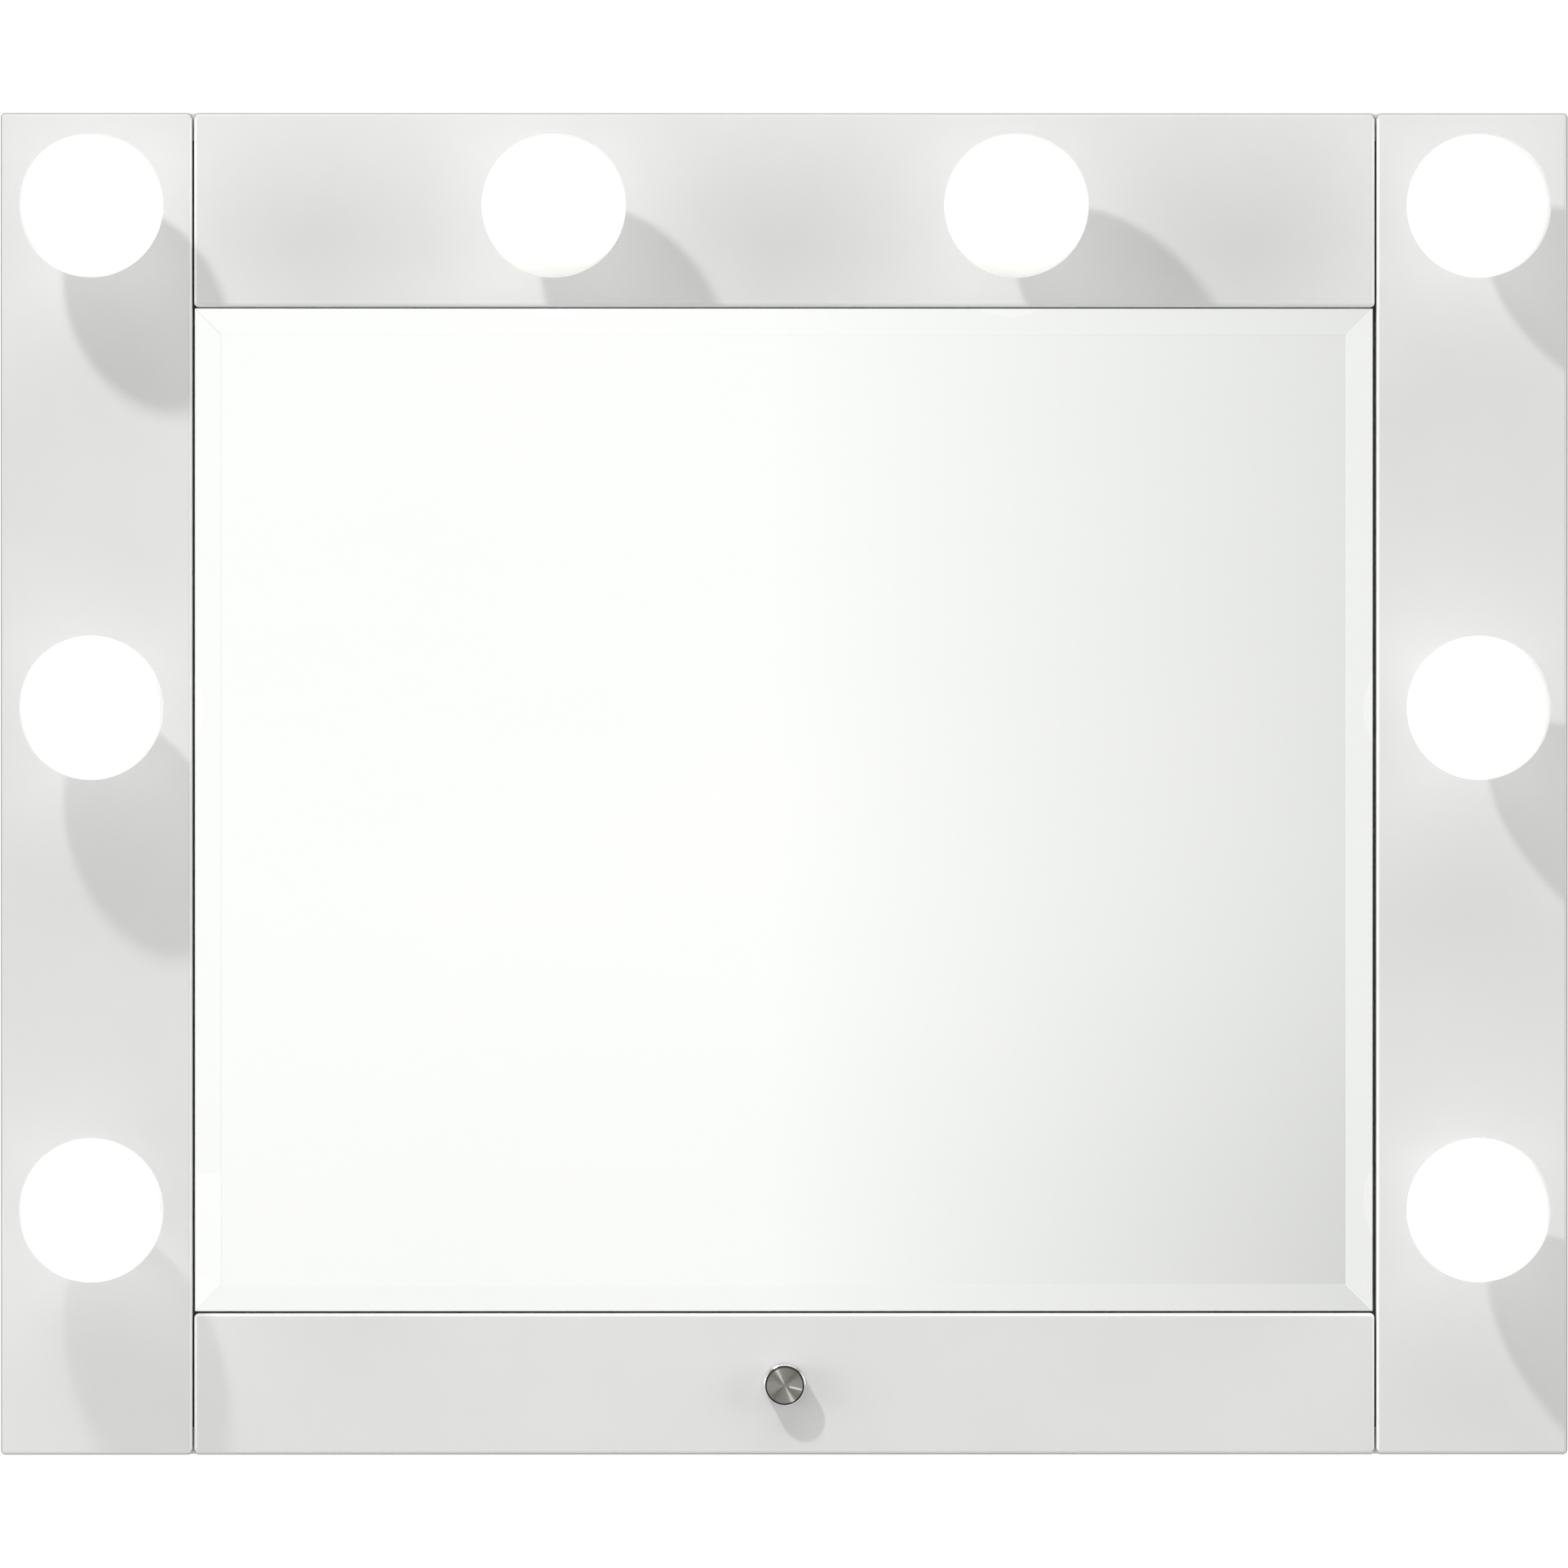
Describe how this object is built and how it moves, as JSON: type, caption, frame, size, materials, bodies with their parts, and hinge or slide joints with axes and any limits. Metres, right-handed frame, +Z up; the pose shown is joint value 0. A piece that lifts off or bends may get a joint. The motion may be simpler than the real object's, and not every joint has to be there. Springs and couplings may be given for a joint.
{
  "type": "lighted vanity mirror",
  "caption": "Wall-hung vanity mirror with a flat white gloss frame, bevelled glass, screw-in globe lamps on the top and sides, and a dimmer knob.",
  "frame": {"origin": "middle of the rear face, which lies against the wall", "axes": "+X to the viewer's right along the width, +Y into the wall, +Z up; the glass, lamps and knob face -Y"},
  "size_m": [0.876, 0.159, 0.75],
  "materials": {
    "white_lacquer": "gloss",
    "dark_primer": "matte",
    "fibreboard": "matte",
    "coated_hardboard": "satin",
    "clear_glass": "polished",
    "silvering": "polished",
    "foam_tape": "matte",
    "porcelain": "gloss",
    "white_plastic": "gloss",
    "brass": "satin",
    "frosted_glass": "satin",
    "nickel_plate": "satin",
    "black_glass": "gloss",
    "spun_aluminium": "satin",
    "plain_steel": "satin",
    "zinc_plate": "satin",
    "module_case": "matte",
    "black_moulding": "satin",
    "tinned_brass": "satin",
    "cable_jacket": "satin",
    "lead_sleeve": "satin"
  },
  "bodies": {
    "frame": {"back_panel": "coated_hardboard", "board_screws": "zinc_plate", "bottom_batten": "fibreboard", "bottom_rail": "white_lacquer", "bottom_side": "white_lacquer", "cables": "cable_jacket", "carrier_board": "dark_primer", "dimmer_module": "module_case", "dimmer_nut": "plain_steel", "dimmer_washer": "plain_steel", "hanger_plates": "zinc_plate", "hanger_screws": "zinc_plate", "holder_collars": "white_plastic", "holder_contacts": "brass", "holder_shells": "brass", "inlet_blades": "tinned_brass", "inlet_housing": "black_moulding", "inlet_screws": "zinc_plate", "lamp_holders": "porcelain", "lamp_leads": "lead_sleeve", "left_batten": "fibreboard", "left_side": "white_lacquer", "left_stile": "white_lacquer", "mirror_glass": "clear_glass", "mirror_silvering": "silvering", "mirror_tape": "foam_tape", "panel_screws": "zinc_plate", "right_batten": "fibreboard", "right_side": "white_lacquer", "right_stile": "white_lacquer", "top_batten": "fibreboard", "top_rail": "white_lacquer", "top_side": "white_lacquer"},
    "dimmer": {"dimmer_knob": "spun_aluminium", "knob_grub_screw": "plain_steel", "dimmer_shaft": "plain_steel"},
    "lamp_1": {"lamp_1_globe": "frosted_glass", "lamp_1_cap": "nickel_plate", "lamp_1_insulator": "black_glass"},
    "lamp_2": {"lamp_2_globe": "frosted_glass", "lamp_2_cap": "nickel_plate", "lamp_2_insulator": "black_glass"},
    "lamp_3": {"lamp_3_globe": "frosted_glass", "lamp_3_cap": "nickel_plate", "lamp_3_insulator": "black_glass"},
    "lamp_4": {"lamp_4_globe": "frosted_glass", "lamp_4_cap": "nickel_plate", "lamp_4_insulator": "black_glass"},
    "lamp_5": {"lamp_5_globe": "frosted_glass", "lamp_5_cap": "nickel_plate", "lamp_5_insulator": "black_glass"},
    "lamp_6": {"lamp_6_globe": "frosted_glass", "lamp_6_cap": "nickel_plate", "lamp_6_insulator": "black_glass"},
    "lamp_7": {"lamp_7_globe": "frosted_glass", "lamp_7_cap": "nickel_plate", "lamp_7_insulator": "black_glass"},
    "lamp_8": {"lamp_8_globe": "frosted_glass", "lamp_8_cap": "nickel_plate", "lamp_8_insulator": "black_glass"}
  },
  "joints": [
    {"name": "dimmer_turn", "type": "hinge", "parent": "frame", "child": "dimmer", "pos_m": [0, -0.06, -0.3355], "axis": [0, -1, 0], "range_deg": [-36, 244]},
    {"name": "lamp_1_out", "type": "slide", "parent": "frame", "child": "lamp_1", "axis": [0, -1, 0], "range_m": [0, 0.06]},
    {"name": "lamp_2_out", "type": "slide", "parent": "frame", "child": "lamp_2", "axis": [0, -1, 0], "range_m": [0, 0.06]},
    {"name": "lamp_3_out", "type": "slide", "parent": "frame", "child": "lamp_3", "axis": [0, -1, 0], "range_m": [0, 0.06]},
    {"name": "lamp_4_out", "type": "slide", "parent": "frame", "child": "lamp_4", "axis": [0, -1, 0], "range_m": [0, 0.06]},
    {"name": "lamp_5_out", "type": "slide", "parent": "frame", "child": "lamp_5", "axis": [0, -1, 0], "range_m": [0, 0.06]},
    {"name": "lamp_6_out", "type": "slide", "parent": "frame", "child": "lamp_6", "axis": [0, -1, 0], "range_m": [0, 0.06]},
    {"name": "lamp_7_out", "type": "slide", "parent": "frame", "child": "lamp_7", "axis": [0, -1, 0], "range_m": [0, 0.06]},
    {"name": "lamp_8_out", "type": "slide", "parent": "frame", "child": "lamp_8", "axis": [0, -1, 0], "range_m": [0, 0.06]}
  ]
}
